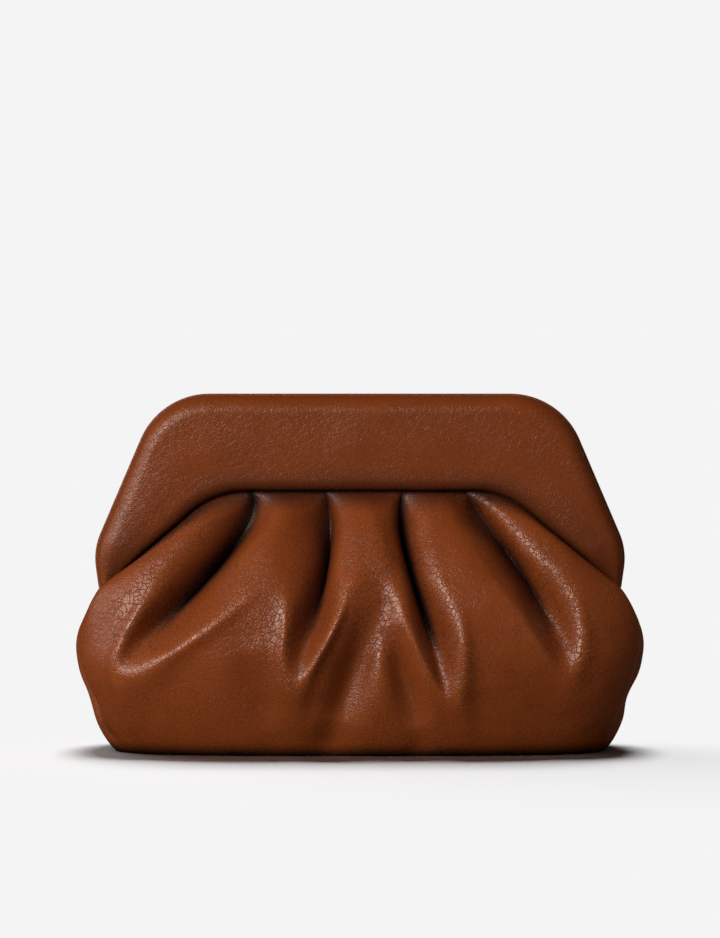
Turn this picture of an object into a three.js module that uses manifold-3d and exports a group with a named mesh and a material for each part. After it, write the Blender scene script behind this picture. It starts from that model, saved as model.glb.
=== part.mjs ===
// A soft clutch bag: a hollow pouch of pleated leather hangs in the slots of a padded frame in two halves.
// The halves close on each other at the plane y = 0. The front faces -Y, +Z is up and the pouch rests on z = 0.
import * as THREE from "three";
import { LoftGeometry } from "three/addons/geometries/LoftGeometry.js";
import { mergeVertices } from "three/addons/utils/BufferGeometryUtils.js";
import Module from "manifold-3d";

// Driving dimensions of the frame, in millimetres
const FRAME_TOP = 187.8; // top edge above the floor
const FRAME_SILL = 137.2; // lower edge of the top band above the floor
const PARTING = 0.3; // half of the gap between the two halves
const PAD_DEPTH = 13; // padded face in front of the parting plane, at its shoulders
const PAD_CROWN = 1; // how much further the middle of the padded face stands out
const RIM_DEPTH = 2.2; // bare rim round the outside of one half
const RIM_STEP = { inset: 0.9, depth: 0.3 }; // small step from the rim to the padding
const OUTER_ROLL = { radius: 9.5, share: 0.4 }; // rounding of the padding, at most this share of its width
const INNER_ROLL = { radius: 8, share: 0.36 };
const LIP = { depth: 10.4, below_face: 0.4, thickness: 1 }; // edge in front of the slot
const SLOT_BACK = 2.4; // back wall of the slot that takes the pouch
const SLOT_RISE = { height: 5, share: 0.45 }; // how far the slot goes up into the frame
const TIP_TAPER = { swell: 0.72, share: 0.16 }; // padding left at a tip, and the share of a side that tapers

// Outlines of the frame from its middle to the tip of a leg: a straight run, then an arc that turns down.
const OUTER_ROUTE = [
  { straight: 79.7, radius: 38, turn: 66.8 },
  { straight: 54.7, radius: 34, turn: 31 },
  { straight: 13, radius: 1, turn: 0 },
];
const INNER_ROUTE = [
  { straight: 56, radius: 45, turn: 41 },
  { straight: 60, radius: 1, turn: 0 },
];

// Driving dimensions of the pouch, in millimetres
const BELLY = { halfWidth: 150, halfDepth: 57, squareness: 3, height: 55 }; // widest plan outline
const FOOT = { halfWidth: 126, halfDepth: 41, squareness: 3.2, height: 0 }; // outline on the floor
const FOOT_FLARE = 0.44; // share of the way to the belly that the wall runs along the floor
const BELLY_DROP = 7; // how long the wall stays upright below the belly
const WALL = 2.2; // leather and its backing
const FLOOR_DOME = { rise: 0.4, share: 0.9 }; // the inside floor is raised a little over the seams
const RIM_IN_SLOT = 6.8; // depth of the pouch's outside in the slot, from the parting plane
const RIM_RISE = 3.2; // how far its top edge goes up into the slot
const RIM_EXIT = 0.9; // where the wall starts to bend, below the slot
const RIM_UNDER_TIP = 3.4; // how far the top edge passes below the tip of a leg
const RIM_TURN = 12; // length over which it comes out of the slot
const GUSSET_LINK = 6; // length of the top edge that crosses from front to back
const GUSSET_RIM = { x: 134.5, z: 79.5 }; // where it crosses
const GUSSET_AWAY = { x: 0.8, z: -0.6 }; // way in which the wall leaves it there

// Sections of the pouch from the left gusset to the right one. column is the mesh column, rim the distance
// from the middle along the frame's inner edge, belly the plan angle of the belly. The wall leaves the belly
// upright for rise, and leaves the slot for reach along it and forward across it.
const SECTIONS = [
  { name: "left_gusset", column: 0, rim: -155, belly: -90, rise: 14, reach: 5, forward: 0 },
  { name: "left_leg", column: 5, rim: -140, belly: -70, rise: 38, reach: 4, forward: 13 },
  { name: "left_roll", column: 10, rim: -100, belly: -56, rise: 40, reach: 6, forward: 14 },
  { name: "first_lobe", column: 16, rim: -57, belly: -42, rise: 40, reach: 14, forward: 6 },
  { name: "second_lobe", column: 26, rim: -18, belly: -5, rise: 42, reach: 16, forward: 4 },
  { name: "middle_lobe", column: 35, rim: 23, belly: 12.5, rise: 42, reach: 16, forward: 4 },
  { name: "fourth_lobe", column: 44, rim: 59, belly: 42.5, rise: 40, reach: 14, forward: 6 },
  { name: "right_roll", column: 50, rim: 100, belly: 56, rise: 40, reach: 6, forward: 14 },
  { name: "right_leg", column: 55, rim: 140, belly: 70, rise: 38, reach: 4, forward: 13 },
  { name: "right_gusset", column: 60, rim: 155, belly: 90, rise: 14, reach: 5, forward: 0 },
];

// Pleats: each is a valley along one mesh column, with its depth, its width on either side and the height
// above which it opens. A narrow side is the steep wall of a lobe that laps over the valley.
const PLEATS = [
  { name: "left_gusset", column: 0, depth: 5, left: 9, right: 9, foot: 50 },
  { name: "pleat_1", column: 16, depth: 24, left: 15, right: 7, foot: 44 },
  { name: "pleat_2", column: 26, depth: 20, left: 14, right: 5, foot: 38 },
  { name: "pleat_3", column: 35, depth: 20, left: 5, right: 14, foot: 28 },
  { name: "pleat_4", column: 44, depth: 21, left: 14, right: 8, foot: 40 },
  { name: "right_gusset", column: 60, depth: 5, left: 9, right: 9, foot: 50 },
];
const PLEAT_PINCH = 0.06; // share of a pleat's depth that is left in the slot
const PLEAT_OPENING = 34; // height below the slot over which a pleat opens
const PLEAT_FOOT = 30; // height over which a pleat dies out above its foot
const PLEAT_SHARPNESS = { foot: 2, head: 1.2 }; // a round valley at the foot, a creased one higher up

// Soft dents between two points of the front, given by x and z, or of a side, given by y and z.
const DENTS = [
  { name: "left_tent", face: "front", from: [4, 86], to: [-22, 8], depth: 7, width: 9 },
  { name: "right_tent", face: "front", from: [15, 82], to: [32, 6], depth: 6, width: 7 },
  { name: "left_tuck", face: "left", from: [-14, 60], to: [-25, 14], depth: 7, width: 6 },
  { name: "right_tuck", face: "right", from: [-14, 60], to: [-25, 14], depth: 7, width: 6 },
];
const DENT_END = 0.12; // share of a dent's length at which its depth stops fading out

// Hidden metal, in millimetres
const HINGE_PIN = { radius: 2, length: 8, x: 131.5, z: 96 };
const CLASP = { radius: 8, depth: 2, z: 162 };
const SEAT_GAP = 0.3; // clearance in the recesses

// Mesh resolution
const FRAME_STATIONS = 36;
const ROLL_STEPS = 4;
const POUCH_COLUMNS = 60; // from the left gusset to the right one
const LOWER_ROWS = 6;
const UPPER_ROWS = 9;
const ROUND_SIDES = 20;
const MERGE_DISTANCE = 1e-3;

const { clamp, degToRad, lerp } = THREE.MathUtils;
const smoothstep = (x) => THREE.MathUtils.smoothstep(x, 0, 1);
const point = (x, y, z) => new THREE.Vector3(x, y, z);

// The point at distance s along a route that starts at x = 0, with its heading below the level.
function routeAt(height, route, s) {
  let x = 0;
  let z = height;
  let heading = 0;
  let left = Math.abs(s);
  for (const { straight, radius, turn } of route) {
    const run = Math.min(left, straight);
    x += run * Math.cos(heading);
    z -= run * Math.sin(heading);
    left -= run;
    const angle = Math.min(left / radius, degToRad(turn));
    x += radius * (Math.sin(heading + angle) - Math.sin(heading));
    z -= radius * (Math.cos(heading) - Math.cos(heading + angle));
    heading += angle;
    left -= angle * radius;
  }
  return { x: x * Math.sign(s), z, heading };
}

const routeLength = (route) =>
  route.reduce((sum, { straight, radius, turn }) => sum + straight + radius * degToRad(turn), 0);

// A smooth curve through one value of the sections that never overshoots them, read at a mesh column.
function sectionCurve(value) {
  const xs = SECTIONS.map((section) => section.column);
  const ys = SECTIONS.map((section) => section[value]);
  const rises = xs.slice(1).map((x, i) => (ys[i + 1] - ys[i]) / (x - xs[i]));
  const slopes = ys.map((_, i) => {
    if (i === 0) return rises[0];
    if (i === rises.length) return rises[i - 1];
    const product = rises[i - 1] * rises[i];
    return product > 0 ? (2 * product) / (rises[i - 1] + rises[i]) : 0;
  });
  return (x) => {
    const i = xs.findLastIndex((start, k) => start <= x && k < rises.length);
    const span = xs[i + 1] - xs[i];
    const t = (x - xs[i]) / span;
    const bow = slopes[i] * t * (1 - t) ** 2 - slopes[i + 1] * t * t * (1 - t);
    return lerp(ys[i], ys[i + 1], smoothstep(t)) + span * bow;
  };
}

// Cross-section of the padding as distances inside the outer edge and depths in front of the parting plane.
function padProfile(width, swell) {
  const face = PAD_DEPTH * swell;
  const outerRoll = Math.min(OUTER_ROLL.radius, OUTER_ROLL.share * width);
  const innerRoll = Math.min(INNER_ROLL.radius, INNER_ROLL.share * width);
  const slotTop = width - Math.min(SLOT_RISE.height, SLOT_RISE.share * width);
  const shoulder = RIM_DEPTH + RIM_STEP.depth;
  const lip = Math.min(LIP.depth, face - LIP.below_face);
  const slotFront = lip - LIP.thickness;
  const quarter = Array.from({ length: ROLL_STEPS + 1 }, (_, i) => (Math.PI / 2) * (i / ROLL_STEPS));
  return [
    [0, PARTING],
    [0, RIM_DEPTH],
    ...quarter.map((a) => [
      RIM_STEP.inset + outerRoll * (1 - Math.cos(a)),
      shoulder + (face - shoulder) * Math.sin(a),
    ]),
    [width / 2, face + PAD_CROWN * swell],
    ...quarter.map((a) => [width - innerRoll * (1 - Math.sin(a)), lip + (face - lip) * Math.cos(a)]),
    [width, slotFront],
    [slotTop, slotFront],
    [slotTop, SLOT_BACK],
    [width, SLOT_BACK],
    [width, PARTING],
  ];
}

// One padded half of the frame, lofted from tip to tip. facing is -1 for the front and 1 for the back.
function frameHalf(facing) {
  const sections = [];
  for (let i = 0; i <= FRAME_STATIONS; i++) {
    const share = (2 * i) / FRAME_STATIONS - 1;
    const outer = routeAt(FRAME_TOP, OUTER_ROUTE, share * routeLength(OUTER_ROUTE));
    const inner = routeAt(FRAME_SILL, INNER_ROUTE, share * routeLength(INNER_ROUTE));
    const width = Math.hypot(inner.x - outer.x, inner.z - outer.z);
    const swell = lerp(TIP_TAPER.swell, 1, smoothstep((1 - Math.abs(share)) / TIP_TAPER.share));
    const loop = padProfile(width, swell).map(([inset, depth]) =>
      point(lerp(outer.x, inner.x, inset / width), facing * depth, lerp(outer.z, inner.z, inset / width)),
    );
    sections.push(facing < 0 ? loop : loop.reverse());
  }
  return new LoftGeometry(sections, { capStart: true, capEnd: true });
}

const rimCurve = sectionCurve("rim");
const bellyCurve = sectionCurve("belly");
const riseCurve = sectionCurve("rise");
const reachCurve = sectionCurve("reach");
const forwardCurve = sectionCurve("forward");

// Plan outline with rounded corners: angle 0 is the middle of the front and 90 degrees the right side.
function planPoint({ halfWidth, halfDepth, squareness, height }, degrees) {
  const across = Math.sin(degToRad(degrees));
  const ahead = Math.max(0, Math.cos(degToRad(degrees)));
  return point(
    halfWidth * Math.sign(across) * Math.abs(across) ** (2 / squareness),
    -halfDepth * ahead ** (2 / squareness),
    height,
  );
}

// The pouch's top edge at distance s along the frame's inner edge, the point where its wall leaves the slot
// and the way in which it does.
function rimPoint(s) {
  const side = Math.sign(s);
  const tip = routeLength(INNER_ROUTE);
  const along = Math.min(Math.abs(s), tip);
  const edge = routeAt(FRAME_SILL, INNER_ROUTE, side * along);
  const rise = lerp(RIM_RISE, -RIM_UNDER_TIP, smoothstep((along - tip + RIM_TURN) / RIM_TURN));
  const away = point(-side * Math.sin(edge.heading), 0, -Math.cos(edge.heading));
  const rim = point(edge.x, -RIM_IN_SLOT, edge.z).addScaledVector(away, -rise);
  const crossing = clamp((Math.abs(s) - tip) / GUSSET_LINK, 0, 1);
  rim.x = lerp(rim.x, side * GUSSET_RIM.x, crossing);
  rim.z = lerp(rim.z, GUSSET_RIM.z, crossing);
  rim.y = -RIM_IN_SLOT * Math.sqrt(1 - crossing * crossing);
  away.lerp(point(side * GUSSET_AWAY.x, 0, GUSSET_AWAY.z), crossing).normalize();
  const exit = rim.clone().addScaledVector(away, Math.max(rise, 0) + RIM_EXIT);
  return { rim, exit, away };
}

// A column of the pouch without pleats: a curve from the foot to the belly, one on to the slot and a short
// neck inside it.
function smoothColumn(column) {
  const foot = planPoint(FOOT, bellyCurve(column));
  const belly = planPoint(BELLY, bellyCurve(column));
  const { rim, exit, away } = rimPoint(rimCurve(column));
  const flare = foot.clone().lerp(point(belly.x, belly.y, foot.z), FOOT_FLARE);
  const drop = belly.clone().add(point(0, 0, -BELLY_DROP));
  const lift = belly.clone().add(point(0, 0, riseCurve(column)));
  const leave = exit.clone().addScaledVector(away, reachCurve(column));
  leave.y -= forwardCurve(column);
  const lower = new THREE.CubicBezierCurve3(foot, flare, drop, belly).getPoints(LOWER_ROWS);
  const upper = new THREE.CubicBezierCurve3(belly, lift, leave, exit).getPoints(UPPER_ROWS);
  return [...lower, ...upper.slice(1), rim];
}

const mirrored = (p) => point(p.x, -p.y, p.z);

// Outward direction of the pouch at a mesh point, from its four neighbours.
function outwardAt(columns, column, row) {
  if (row === 0) return point(0, 0, -1);
  const last = columns.length - 1;
  const before = column > 0 ? columns[column - 1][row] : mirrored(columns[1][row]);
  const after = column < last ? columns[column + 1][row] : mirrored(columns[last - 1][row]);
  const above = columns[column][Math.min(row + 1, columns[column].length - 1)];
  const up = above.clone().sub(columns[column][row - 1]);
  return after.clone().sub(before).cross(up).normalize();
}

// Depth of all pleats at a mesh point. along holds the distances along its row from the left gusset.
function pleatDepth(along, column, p) {
  const below = rimPoint(rimCurve(column)).exit.z - p.z;
  const opening = lerp(PLEAT_PINCH, 1, smoothstep(below / PLEAT_OPENING));
  let sum = 0;
  for (const { column: middle, depth, left, right, foot } of PLEATS) {
    const offset = along[column] - along[middle];
    const spread = Math.abs(offset) / (offset < 0 ? left : right);
    const climb = (p.z - foot) / PLEAT_FOOT;
    const sharpness = lerp(PLEAT_SHARPNESS.foot, PLEAT_SHARPNESS.head, smoothstep(climb / 2));
    sum += depth * opening * smoothstep(climb) * Math.exp(-(spread ** sharpness));
  }
  return sum;
}

// Depth of all soft dents at a mesh point of the smooth pouch that faces outward.
function dentDepth(p, outward) {
  const facing = { front: -outward.y, left: -outward.x, right: outward.x };
  let sum = 0;
  for (const { face, from, to, depth, width } of DENTS) {
    const here = new THREE.Vector2(face === "front" ? p.x : p.y, p.z);
    const start = new THREE.Vector2(...from);
    const run = new THREE.Vector2(...to).sub(start);
    const share = clamp(here.clone().sub(start).dot(run) / run.lengthSq(), 0, 1);
    const distance = here.distanceTo(start.addScaledVector(run, share));
    const fade = Math.sin(Math.PI * clamp(share, DENT_END, 1 - DENT_END));
    sum += depth * fade * Math.max(0, facing[face]) * Math.exp(-((distance / width) ** 2));
  }
  return sum;
}

// The front half with its pleats and dents, as columns of points from the foot to the rim.
function pleatedColumns() {
  const smooth = Array.from({ length: POUCH_COLUMNS + 1 }, (_, column) => smoothColumn(column));
  const pleated = smooth.map((points) => [points[0]]);
  for (let row = 1; row < smooth[0].length; row++) {
    const along = [0];
    for (let column = 1; column <= POUCH_COLUMNS; column++) {
      along.push(along[column - 1] + smooth[column][row].distanceTo(smooth[column - 1][row]));
    }
    smooth.forEach((points, column) => {
      const outward = outwardAt(smooth, column, row);
      const sunk = pleatDepth(along, column, points[row]) + dentDepth(points[row], outward);
      pleated[column].push(points[row].clone().addScaledVector(outward, -sunk));
    });
  }
  return pleated;
}

// A closed ring from the front half's points: the back half is its mirror image.
const ring = (front) => [...front, ...front.slice(1, -1).reverse().map(mirrored)];

// The hollow pouch, lofted up its outside, over its top edge and down its inside.
function pouch() {
  const columns = pleatedColumns();
  const up = [];
  const down = [];
  for (let row = 0; row < columns[0].length; row++) {
    const inward = (column) => outwardAt(columns, column, row).multiplyScalar(-WALL);
    up.push(ring(columns.map((points) => points[row])));
    down.unshift(ring(columns.map((points, column) => inward(column).add(points[row]))));
  }
  const { rise, share } = FLOOR_DOME;
  const dome = down.at(-1).map((p) => point(p.x * share, p.y * share, p.z + rise));
  return new LoftGeometry([...up, ...down, dome], { capStart: true, capEnd: true });
}

// Two hinge pins between the tips of the legs and a magnetic clasp under the top band
const cylinder = (radius, length) => new THREE.CylinderGeometry(radius, radius, length, ROUND_SIDES);
const hingePin = (gap) =>
  cylinder(HINGE_PIN.radius + gap, HINGE_PIN.length + 2 * gap).rotateZ(Math.PI / 2);
const claspDisc = (gap) => cylinder(CLASP.radius + gap, 2 * (CLASP.depth + gap));
const hingeAt = (side) => [side * HINGE_PIN.x, 0, HINGE_PIN.z];
const claspAt = [0, 0, CLASP.z];

const wasm = await Module();
wasm.setup();

// A closed geometry as a solid that can be cut
function solidOf(geometry) {
  const bare = new THREE.BufferGeometry();
  bare.setAttribute("position", geometry.getAttribute("position"));
  bare.setIndex(geometry.index);
  const merged = mergeVertices(bare, MERGE_DISTANCE);
  const vertProperties = merged.attributes.position.array;
  const triVerts = new Uint32Array(merged.index.array);
  return new wasm.Manifold(new wasm.Mesh({ numProp: 3, vertProperties, triVerts }));
}

function geometryOf(solid) {
  const mesh = solid.getMesh();
  const geometry = new THREE.BufferGeometry();
  geometry.setAttribute("position", new THREE.BufferAttribute(mesh.vertProperties, 3));
  geometry.setIndex(new THREE.BufferAttribute(mesh.triVerts, 1));
  geometry.computeVertexNormals();
  return geometry;
}

// A frame half with the recesses that hold the hinge pins and the clasp
function recessedHalf(facing) {
  const cutters = [
    claspDisc(SEAT_GAP).translate(...claspAt),
    hingePin(SEAT_GAP).translate(...hingeAt(-1)),
    hingePin(SEAT_GAP).translate(...hingeAt(1)),
  ];
  const half = solidOf(frameHalf(facing));
  return geometryOf(cutters.reduce((solid, cutter) => solid.subtract(solidOf(cutter)), half));
}

const leather = new THREE.MeshStandardMaterial({ color: 0x7d4022, roughness: 0.45, metalness: 0 });
const steel = new THREE.MeshStandardMaterial({ color: 0x8a8580, roughness: 0.35, metalness: 1 });

const bag = new THREE.Group();

function addPiece(name, geometry, material, position = [0, 0, 0]) {
  const mesh = new THREE.Mesh(geometry, material);
  mesh.name = name;
  mesh.position.set(...position);
  bag.add(mesh);
}

addPiece("pouch", pouch(), leather);
addPiece("front_frame", recessedHalf(-1), leather);
addPiece("back_frame", recessedHalf(1), leather);
addPiece("hinge_pin_left", hingePin(0), steel, hingeAt(-1));
addPiece("hinge_pin_right", hingePin(0), steel, hingeAt(1));
addPiece("clasp", claspDisc(0), steel, claspAt);

export default bag;
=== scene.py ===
"""A soft clutch bag: a pleated leather pouch hangs in a padded frame and stands on a pale studio floor."""

import math

import bpy
import numpy as np
from bpy.props import FloatProperty, FloatVectorProperty, PointerProperty
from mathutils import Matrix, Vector


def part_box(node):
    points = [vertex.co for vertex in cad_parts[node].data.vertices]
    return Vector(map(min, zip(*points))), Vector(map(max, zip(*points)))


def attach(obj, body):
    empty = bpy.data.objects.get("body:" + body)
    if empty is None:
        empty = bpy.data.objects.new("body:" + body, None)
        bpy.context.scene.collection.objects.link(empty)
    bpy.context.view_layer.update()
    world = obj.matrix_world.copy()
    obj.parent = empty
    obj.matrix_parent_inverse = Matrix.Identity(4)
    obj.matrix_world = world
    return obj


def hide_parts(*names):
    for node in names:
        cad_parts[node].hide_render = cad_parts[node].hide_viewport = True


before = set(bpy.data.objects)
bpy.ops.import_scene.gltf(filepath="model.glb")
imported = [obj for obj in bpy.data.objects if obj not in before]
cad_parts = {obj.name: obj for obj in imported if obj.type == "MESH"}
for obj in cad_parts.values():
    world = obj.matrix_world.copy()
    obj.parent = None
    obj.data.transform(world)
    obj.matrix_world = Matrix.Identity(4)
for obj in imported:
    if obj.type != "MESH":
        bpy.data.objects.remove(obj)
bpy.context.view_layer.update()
FRAME_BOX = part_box("front_frame")

bl_info = {
    "name": "Clutch bag",
    "version": (1, 0, 0),
    "blender": (4, 5, 0),
    "location": "View3D > Sidebar > Clutch bag",
    "description": "Builds the leather pouch, padded frame, metal and studio of a soft clutch bag",
    "category": "Add Mesh",
}

# Padded frame: the rest of its section, in metres
PARTING = 0.0003  # half of the gap between the two halves
RIM_STEP = {"inset": 0.0011, "depth": 0.0003}  # small step from the bare rim to the padding
RIM_EDGE = 0.00035  # rounding of the rim's edges
RIM_ROUND = 0.3  # share of the rounding at which its middle point lies
RIM_POINTS = 6  # points of the section before the padding
ROLL_SHARE = {"outer": 0.4, "inner": 0.36}  # most that a roll takes of the padding's width
LIP = {"depth": 0.0088, "below_face": 0.0004, "thickness": 0.001}  # edge in front of the slot
SLOT_BACK = 0.0024  # back wall of the slot that takes the pouch
SLOT_RISE = {"height": 0.005, "share": 0.45}  # how far the slot goes up into the frame
SLOT_END = 0.03  # share of a side over which the slot closes at the tip of a leg
TIP_TAPER = {"swell": 0.72, "share": 0.16}  # padding left at a tip, and the share of a side that tapers
LEG_ARCH = {"share": 0.5, "power": 2.3}  # towards the tips the section turns into an arch
TIP_ROUND = {"share": 0.012, "start": 0.15}  # share of a side that is rounded off, and where that starts
# Painted shade on the padding where the pouch shades it: along the lower edge, and over the legs
PAD_PAINTED_SHADE = {"edge": 0.5, "edge_start": 0.72, "leg": 0.38, "leg_start": 0.05, "leg_reach": 0.6}
# Soft unevenness of the padding, which has its whole height from that share of the face's depth on
PAD_DIMPLE = {"height": 0.00035, "cell": 0.021, "seed": 11, "share": 0.6}
SHARP_ANGLE = 50  # degrees from which an edge of the frame shows

# Outlines of the frame from its middle to the tip of a leg: straight run, then an arc's radius and turn
OUTER_ROUTE = [(0.0795, 0.0395, 66.8), (0.0540, 0.034, 31), (0.013, 0.001, 0)]
INNER_ROUTE = [(0.060, 0.045, 41), (0.056, 0.001, 0)]

# Pouch: how its wall leaves the floor, the belly and the slot, in metres
BELLY_SQUARENESS = 3
FOOT_SQUARENESS = 3.2
# Share of the way to the belly that the wall runs along the floor, and the power that mixes the two
FOOT_FLARE = {"front": 0.44, "side": 0.28, "power": 6}
BELLY_DROP = 0.018  # how long the wall stays upright below the belly
RIM_IN_SLOT = 0.0068  # depth of the outside in the slot, from the parting plane
RIM_RISE = 0.0032  # how far the top edge goes up into the slot
RIM_EXIT = 0.0009  # where the wall starts to bend, below the slot
RIM_UNDER_TIP = 0.0024  # how far the top edge passes below the tip of a leg
RIM_TURN = 0.012  # length over which it comes out of the slot
GUSSET_LINK = 0.006  # length of the top edge that crosses from front to back
GUSSET_RIM = {"x": 0.1345, "z": 0.0825}  # where it crosses
GUSSET_AWAY = {"x": 0.8, "z": -0.6}  # way in which the wall leaves it there

# Sections of the pouch from the left gusset to the right one: place across the front, distance of the top
# edge from the middle along the frame, plan angles of the belly and of the foot, then how far the wall
# leaves the belly upwards and to the right, and how far it leaves the slot away from the frame, to the
# right and to the front
SECTION_NAMES = ("place", "rim", "belly", "foot", "rise", "lean", "reach", "sway", "forward")
SECTIONS = {
    "left_gusset": (0, -0.1542, -90, -90, 0.014, 0, 0.005, 0, 0),
    "left_leg": (5, -0.140, -70, -70, 0.041, 0.002, 0.002, 0, 0.020),
    "left_roll": (10, -0.100, -57, -57, 0.046, 0.012, 0.003, 0.003, 0.019),
    "pleat_1": (16, -0.057, -42.6, -45.6, 0.040, 0.0350, 0.012, 0.0080, 0.008),
    "left_lobe": (21, -0.0375, -22.5, -25, 0.042, 0.018, 0.010, 0.004, 0.017),
    "pleat_2": (26, -0.018, -4.9, -8.8, 0.042, 0.0150, 0.013, 0.0040, 0.007),
    "middle_lobe": (30.5, 0.0025, 1.6, 4, 0.042, 0.001, 0.010, 0, 0.018),
    "pleat_3": (35, 0.023, 7.6, 19.0, 0.042, -0.0125, 0.013, -0.0060, 0.007),
    "right_lobe": (39.5, 0.041, 22.0, 33.5, 0.042, -0.010, 0.010, 0.005, 0.017),
    "pleat_4": (44, 0.0555, 35.7, 44.2, 0.040, -0.0095, 0.012, 0.0065, 0.008),
    "right_roll": (50, 0.100, 56, 58, 0.046, -0.007, 0.003, 0.003, 0.019),
    "right_leg": (55, 0.140, 70, 70, 0.041, -0.002, 0.002, 0, 0.020),
    "right_gusset": (60, 0.1542, 90, 90, 0.014, 0, 0.005, 0, 0),
}

# Pleats: place across the front, depth, reach of the rolls on the left and on the right, widths of the
# round valley at the foot on the left and on the right, height of the foot, how much painted shade the
# crease gets, and how much of the raised edge stands on the left and on the right
PLEATS = {
    "left_gusset": (0, 0.005, 0.014, 0.014, 0.009, 0.009, 0.050, 0, 0, 0),
    "pleat_1": (16, 0.028, 0.028, 0.014, 0.0110, 0.020, 0.048, 1, 2.2, 2.4),
    "pleat_2": (26, 0.026, 0.032, 0.008, 0.0095, 0.0080, 0.045, 0.8, 2.4, 3.2),
    "pleat_3": (35, 0.027, 0.006, 0.016, 0.0055, 0.0110, 0.036, 1, 0.1, 2.6),
    "pleat_4": (44, 0.027, 0.036, 0.010, 0.0100, 0.0110, 0.048, 0.8, 0.3, 0.9),
    "right_gusset": (60, 0.005, 0.014, 0.014, 0.009, 0.009, 0.050, 0, 0, 0),
}
PLEAT_PINCH = 0.06  # share of a pleat's depth that is left in the slot
PLEAT_OPENING = 0.016  # height below the slot over which a pleat opens
# Foot of a pleat: the height in which it gets deep, how soft its edge is, and its share of the depth
PLEAT_SCOOP = {"length": 0.007, "edge": 0.0034, "share": 0.38}
PLEAT_HOLLOW = {"height": 0.010, "reach": 2}  # how much higher it is a width aside, and up to how many
PLEAT_CLIMB = 0.054  # height over which a pleat gets its whole depth
PLEAT_CLOSE = {"start": 0.018, "length": 0.042}  # height over which the valley closes into a crease
PLEAT_TIGHT = 3.0  # how fast the depth falls off on the tight side of a crease
PLEAT_ROUND = 2.1  # power of the valley's section at the foot
# Raised edge of a foot, the share of the foot's depth where it stands, and the power that sets its width
PLEAT_LIP = {"height": 0.0016, "share": 0.2, "spread": 0.36}
SLOT_PAINTED_SHADE = {"height": 0.012, "share": 0.75}  # painted shade just below the slot, where the frame shades the pouch
PLEAT_PAINTED_SHADE = {"reach": 0.24, "start": 0.006, "length": 0.030}  # painted shade in a crease: its share of a roll, and where it starts
# How far a pleat goes straight back instead of straight in, in full where the wall faces front by so much
PLEAT_TURN = {"share": 0.75, "facing": 0.5}
VALLEY_ROOM = 0.0036  # least distance of a valley from the parting plane
VALLEY_SLANT = 0.3  # least share of a push that counts as straight back

# Soft dents between two points of the front, given by x and z, or of a side, given by y and z: start,
# end, depth and width
DENTS = {
    "left_tent": ("front", (0.011, 0.088), (-0.015, 0.008), 0.0105, 0.009),
    "right_tent": ("front", (0.0135, 0.078), (0.031, 0.006), 0.008, 0.007),
    "left_fold": ("front", (-0.058, 0.062), (-0.046, 0.006), 0.003, 0.010),
    "left_tuck": ("left", (-0.014, 0.060), (-0.022, 0.010), 0.007, 0.005),
    "right_tuck": ("right", (-0.014, 0.060), (-0.022, 0.010), 0.006, 0.005),
    "left_notch": ("left", (-0.030, 0.028), (0.030, 0.028), 0.0018, 0.009),
    "right_notch": ("right", (-0.030, 0.027), (0.030, 0.027), 0.0036, 0.010),
}
DENT_END = 0.12  # share of a dent's length at its ends over which its depth stays level

# Leather crushed into fine creases, along lines of the front given by x and z: start, end and width
CRUSHED = {
    "left_roll": ((-0.088, 0.122), (-0.123, 0.066), 0.010),
    "left_rim": ((-0.122, 0.056), (-0.080, 0.073), 0.009),
    "left_lobe": ((-0.066, 0.090), (-0.042, 0.060), 0.014),
    "left_arm": ((-0.047, 0.072), (-0.036, 0.044), 0.007),
    "middle_arm": ((-0.010, 0.085), (-0.020, 0.045), 0.006),
    "middle_lobe": ((0.008, 0.108), (0.008, 0.060), 0.011),
    "right_wall": ((0.028, 0.124), (0.040, 0.085), 0.008),
    "right_foot": ((0.040, 0.085), (0.051, 0.038), 0.009),
    "right_roll": ((0.068, 0.128), (0.100, 0.090), 0.008),
    "right_rim": ((0.100, 0.090), (0.114, 0.048), 0.010),
}
WRINKLES = [(0.024, 1.0, 3), (0.009, 0.45, 5)]  # cell, share of the wrinkle height and seed of each size
WRINKLE_FADE = 0.02  # height over which they fade out at the floor and at the slot

# Mesh resolution
FRAME_STATIONS = 260
STATION_CROWD = 0.5  # how much closer the stations stand near the tips
ROLL_STEPS = 14
CROWN_STEPS = 18
COLUMNS = 400  # of the pouch's front
BACK_EVERY = 2  # one column of the back for so many of the front
COLUMN_CROWD = {"gain": 2.0, "reach": 1.6, "steps": 20}  # columns stand closer near a pleat
LOWER_ROWS = 40
UPPER_ROWS = 80
NECK_ROWS = 3
INNER_EVERY = 6  # one row of the inside for so many of the outside
FLOOR_SHARES = (0.8, 0.5, 0.2)  # rings of the flat base
LATTICE = 64  # random values along each side of the noise's lattice
LEAST = {"length": 1e-12, "square": 1e-9, "fourth": 1e-16}  # keep divisions away from zero

# Curvature, one over a radius in metres, at which a ridge or a valley starts and at which it is whole
RIDGE_CURVE = (25, 160)
VALLEY_CURVE = (20, 150)
BEND_PASSES = 3  # rounds of smoothing
VALLEY_PAINTED_SHADE = 0.15  # how much painted shade a valley outside the pleats gets
FLOOR_PAINTED_SHADE = {"height": 0.008, "share": 0.9}  # painted shade along the edge where the pouch meets the floor
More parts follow.
